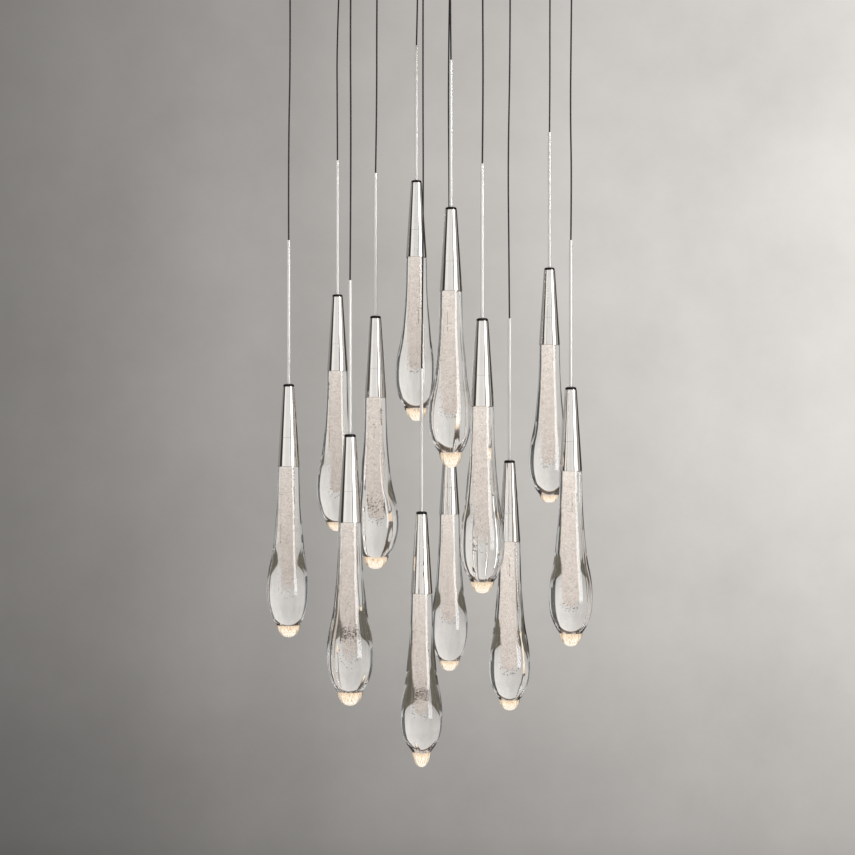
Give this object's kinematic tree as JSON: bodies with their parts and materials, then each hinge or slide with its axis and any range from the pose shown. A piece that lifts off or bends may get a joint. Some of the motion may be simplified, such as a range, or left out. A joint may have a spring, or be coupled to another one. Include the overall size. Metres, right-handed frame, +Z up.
{
  "type": "multi-drop pendant chandelier",
  "caption": "Cluster of solid glass drops with bubble cores, each lit from a slim nickel cone and hung on a thin black cord from a round ceiling canopy.",
  "frame": {"origin": "centre of the ceiling plate's top face, where it meets the ceiling", "axes": "+Z up, +X to the right and +Y away from someone who looks at the front as pictured"},
  "size_m": [0.66, 0.66, 1.5732],
  "materials": {
    "polished_nickel": "polished nickel plate, mirror bright and slightly warm",
    "bubble_glass": "clear solid glass with a core of small bubbles",
    "black_cord": "fine black braid",
    "galvanised_steel": "galvanised sheet",
    "zinc_plated_steel": "bright zinc plate",
    "white_plastic": "moulded, fine satin",
    "terminal_plastic": "moulded, natural nylon",
    "brass": "plain brass"
  },
  "bodies": {
    "canopy": {"ceiling_plate": "galvanised_steel", "plate_studs": "zinc_plated_steel", "canopy_pan": "polished_nickel", "canopy_cap_nuts": "polished_nickel", "cord_grips": "polished_nickel", "grip_nuts": "zinc_plated_steel", "driver_front": "white_plastic", "driver_rear": "white_plastic", "driver_screws": "zinc_plated_steel", "mains_terminal": "terminal_plastic", "led_terminal": "terminal_plastic", "earth_screw": "brass"},
    "hanger_01": {"cord_01": "black_cord"},
    "pendant_01": {"stem_01": "polished_nickel", "cone_01": "polished_nickel", "drop_01": "bubble_glass"},
    "hanger_02": {"cord_02": "black_cord"},
    "pendant_02": {"stem_02": "polished_nickel", "cone_02": "polished_nickel", "drop_02": "bubble_glass"},
    "hanger_03": {"cord_03": "black_cord"},
    "pendant_03": {"stem_03": "polished_nickel", "cone_03": "polished_nickel", "drop_03": "bubble_glass"},
    "hanger_04": {"cord_04": "black_cord"},
    "pendant_04": {"stem_04": "polished_nickel", "cone_04": "polished_nickel", "drop_04": "bubble_glass"},
    "hanger_05": {"cord_05": "black_cord"},
    "pendant_05": {"stem_05": "polished_nickel", "cone_05": "polished_nickel", "drop_05": "bubble_glass"},
    "hanger_06": {"cord_06": "black_cord"},
    "pendant_06": {"stem_06": "polished_nickel", "cone_06": "polished_nickel", "drop_06": "bubble_glass"},
    "hanger_07": {"cord_07": "black_cord"},
    "pendant_07": {"stem_07": "polished_nickel", "cone_07": "polished_nickel", "drop_07": "bubble_glass"},
    "hanger_08": {"cord_08": "black_cord"},
    "pendant_08": {"stem_08": "polished_nickel", "cone_08": "polished_nickel", "drop_08": "bubble_glass"},
    "hanger_09": {"cord_09": "black_cord"},
    "pendant_09": {"stem_09": "polished_nickel", "cone_09": "polished_nickel", "drop_09": "bubble_glass"},
    "hanger_10": {"cord_10": "black_cord"},
    "pendant_10": {"stem_10": "polished_nickel", "cone_10": "polished_nickel", "drop_10": "bubble_glass"},
    "hanger_11": {"cord_11": "black_cord"},
    "pendant_11": {"stem_11": "polished_nickel", "cone_11": "polished_nickel", "drop_11": "bubble_glass"},
    "hanger_12": {"cord_12": "black_cord"},
    "pendant_12": {"stem_12": "polished_nickel", "cone_12": "polished_nickel", "drop_12": "bubble_glass"}
  },
  "joints": [
    {"name": "cord_swing_01", "type": "hinge", "parent": "canopy", "child": "hanger_01", "pos_m": [-0.265, -0.033, -0.064], "axis": [1, 0, 0], "range_deg": [-5, 5]},
    {"name": "drop_sway_01", "type": "hinge", "parent": "hanger_01", "child": "pendant_01", "pos_m": [-0.267, -0.033, -0.593], "axis": [0, 1, 0], "range_deg": [-2.5, 2.5]},
    {"name": "cord_swing_02", "type": "hinge", "parent": "canopy", "child": "hanger_02", "pos_m": [-0.1855, 0.209, -0.064], "axis": [1, 0, 0], "range_deg": [-5, 5]},
    {"name": "drop_sway_02", "type": "hinge", "parent": "hanger_02", "child": "pendant_02", "pos_m": [-0.189, 0.208, -0.409], "axis": [0, 1, 0], "range_deg": [-2.5, 2.5]},
    {"name": "cord_swing_03", "type": "hinge", "parent": "canopy", "child": "hanger_03", "pos_m": [-0.142, -0.246, -0.064], "axis": [1, 0, 0], "range_deg": [-5, 5]},
    {"name": "drop_sway_03", "type": "hinge", "parent": "hanger_03", "child": "pendant_03", "pos_m": [-0.144, -0.247, -0.685], "axis": [0, 1, 0], "range_deg": [-2.5, 2.5]},
    {"name": "cord_swing_04", "type": "hinge", "parent": "canopy", "child": "hanger_04", "pos_m": [-0.1037, -0.0065, -0.064], "axis": [1, 0, 0], "range_deg": [-5, 5]},
    {"name": "drop_sway_04", "type": "hinge", "parent": "hanger_04", "child": "pendant_04", "pos_m": [-0.107, -0.006, -0.465], "axis": [0, 1, 0], "range_deg": [-2.5, 2.5]},
    {"name": "cord_swing_05", "type": "hinge", "parent": "canopy", "child": "hanger_05", "pos_m": [-0.0295, 0.1883, -0.064], "axis": [1, 0, 0], "range_deg": [-5, 5]},
    {"name": "drop_sway_05", "type": "hinge", "parent": "hanger_05", "child": "pendant_05", "pos_m": [-0.032, 0.188, -0.185], "axis": [0, 1, 0], "range_deg": [-2.5, 2.5]},
    {"name": "cord_swing_06", "type": "hinge", "parent": "canopy", "child": "hanger_06", "pos_m": [0.0307, -0.1093, -0.064], "axis": [1, 0, 0], "range_deg": [-5, 5]},
    {"name": "drop_sway_06", "type": "hinge", "parent": "hanger_06", "child": "pendant_06", "pos_m": [0.0325, -0.109, -0.275], "axis": [0, 1, 0], "range_deg": [-2.5, 2.5]},
    {"name": "cord_swing_07", "type": "hinge", "parent": "canopy", "child": "hanger_07", "pos_m": [0.0852, -0.2562, -0.064], "axis": [1, 0, 0], "range_deg": [-5, 5]},
    {"name": "drop_sway_07", "type": "hinge", "parent": "hanger_07", "child": "pendant_07", "pos_m": [0.0845, -0.257, -0.485], "axis": [0, 1, 0], "range_deg": [-2.5, 2.5]},
    {"name": "cord_swing_08", "type": "hinge", "parent": "canopy", "child": "hanger_08", "pos_m": [0.1452, 0.014, -0.064], "axis": [1, 0, 0], "range_deg": [-5, 5]},
    {"name": "drop_sway_08", "type": "hinge", "parent": "hanger_08", "child": "pendant_08", "pos_m": [0.144, 0.014, -0.735], "axis": [0, 1, 0], "range_deg": [-2.5, 2.5]},
    {"name": "cord_swing_09", "type": "hinge", "parent": "canopy", "child": "hanger_09", "pos_m": [0.2312, 0.1714, -0.064], "axis": [1, 0, 0], "range_deg": [-5, 5]},
    {"name": "drop_sway_09", "type": "hinge", "parent": "hanger_09", "child": "pendant_09", "pos_m": [0.23, 0.172, -0.359], "axis": [0, 1, 0], "range_deg": [-2.5, 2.5]},
    {"name": "cord_swing_10", "type": "hinge", "parent": "canopy", "child": "hanger_10", "pos_m": [0.2522, -0.0994, -0.064], "axis": [1, 0, 0], "range_deg": [-5, 5]},
    {"name": "drop_sway_10", "type": "hinge", "parent": "hanger_10", "child": "pendant_10", "pos_m": [0.25, -0.099, -0.6], "axis": [0, 1, 0], "range_deg": [-2.5, 2.5]},
    {"name": "cord_swing_11", "type": "hinge", "parent": "canopy", "child": "hanger_11", "pos_m": [-0.018, -0.0094, -0.064], "axis": [1, 0, 0], "range_deg": [-5, 5]},
    {"name": "drop_sway_11", "type": "hinge", "parent": "hanger_11", "child": "pendant_11", "pos_m": [-0.021, -0.01, -0.83], "axis": [0, 1, 0], "range_deg": [-2.5, 2.5]},
    {"name": "cord_swing_12", "type": "hinge", "parent": "canopy", "child": "hanger_12", "pos_m": [0.0345, 0.2544, -0.064], "axis": [1, 0, 0], "range_deg": [-5, 5]},
    {"name": "drop_sway_12", "type": "hinge", "parent": "hanger_12", "child": "pendant_12", "pos_m": [0.034, 0.254, -0.695], "axis": [0, 1, 0], "range_deg": [-2.5, 2.5]}
  ]
}
